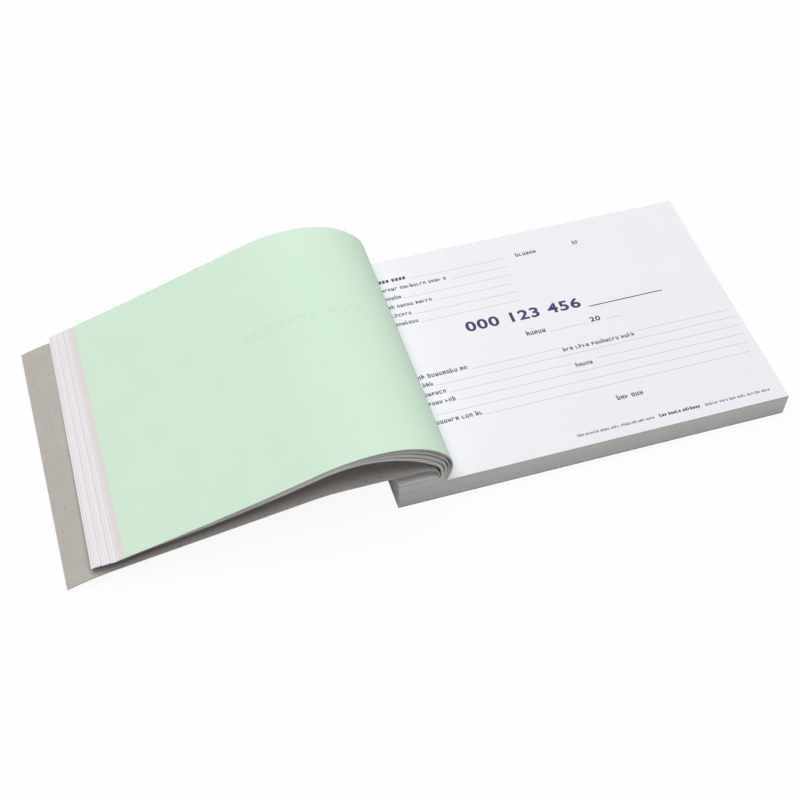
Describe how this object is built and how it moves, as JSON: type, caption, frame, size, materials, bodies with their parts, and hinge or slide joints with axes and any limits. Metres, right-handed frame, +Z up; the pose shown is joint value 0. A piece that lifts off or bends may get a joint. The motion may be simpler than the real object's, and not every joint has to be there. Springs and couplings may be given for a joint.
{
  "type": "triplicate receipt book",
  "caption": "Open side-stapled receipt book: a pad with a ruled form on top, turned leaves rolled over the binding, and the folded-back cover under them.",
  "frame": {"origin": "centre of the back cover's underside, which lies on the table", "axes": "+X from the spine to the pad's free edge, +Y along the spine to the head of the form, +Z up"},
  "size_m": [0.2616, 0.105, 0.0364],
  "materials": {
    "white_paper": "uncoated white carbonless paper",
    "pink_paper": "uncoated pale pink carbonless paper",
    "green_paper": "uncoated pale green carbonless paper",
    "grey_board": "duplex board, warm grey inside and white outside",
    "staple_wire": "bright galvanised flat wire"
  },
  "bodies": {
    "pad": {"back_cover": "grey_board", "remaining_sets": "white_paper", "current_triplicate_leaf": "green_paper", "current_duplicate_stub": "pink_paper", "current_original_stub": "white_paper", "turned_set_stubs": "white_paper", "last_triplicate_stub": "green_paper", "last_duplicate_stub": "pink_paper", "last_original_stub": "white_paper", "front_cover_stub": "grey_board", "staples": "staple_wire"},
    "current_duplicate": {"current_duplicate_slip": "pink_paper"},
    "current_original": {"current_original_slip": "white_paper"},
    "cover": {"front_cover": "grey_board"},
    "turned_leaves": {"turned_set_1": "white_paper", "turned_set_2": "white_paper", "turned_set_3": "white_paper", "turned_set_4": "white_paper", "turned_set_5": "white_paper", "turned_set_6": "white_paper", "turned_set_7": "white_paper", "turned_set_8": "white_paper", "turned_set_9": "white_paper", "last_original_leaf": "white_paper", "last_duplicate_leaf": "pink_paper"},
    "last_leaf": {"last_triplicate_leaf": "green_paper"}
  },
  "joints": [
    {"name": "cover_fold", "type": "hinge", "parent": "pad", "child": "cover", "pos_m": [-0.05694, 0, 0.01004], "axis": [0, 1, 0], "range_deg": [0, 35]},
    {"name": "leaves_turn", "type": "hinge", "parent": "cover", "child": "turned_leaves", "pos_m": [-0.05694, 0, 0.01004], "axis": [0, 1, 0], "range_deg": [0, 20]},
    {"name": "last_leaf_turn", "type": "hinge", "parent": "turned_leaves", "child": "last_leaf", "pos_m": [-0.05694, 0, 0.01004], "axis": [0, 1, 0], "range_deg": [0, 15]},
    {"name": "duplicate_tear_off", "type": "slide", "parent": "pad", "child": "current_duplicate", "axis": [1, 0, 0], "range_m": [0, 0.14]},
    {"name": "original_tear_off", "type": "slide", "parent": "current_duplicate", "child": "current_original", "axis": [1, 0, 0], "range_m": [0, 0.14]}
  ]
}
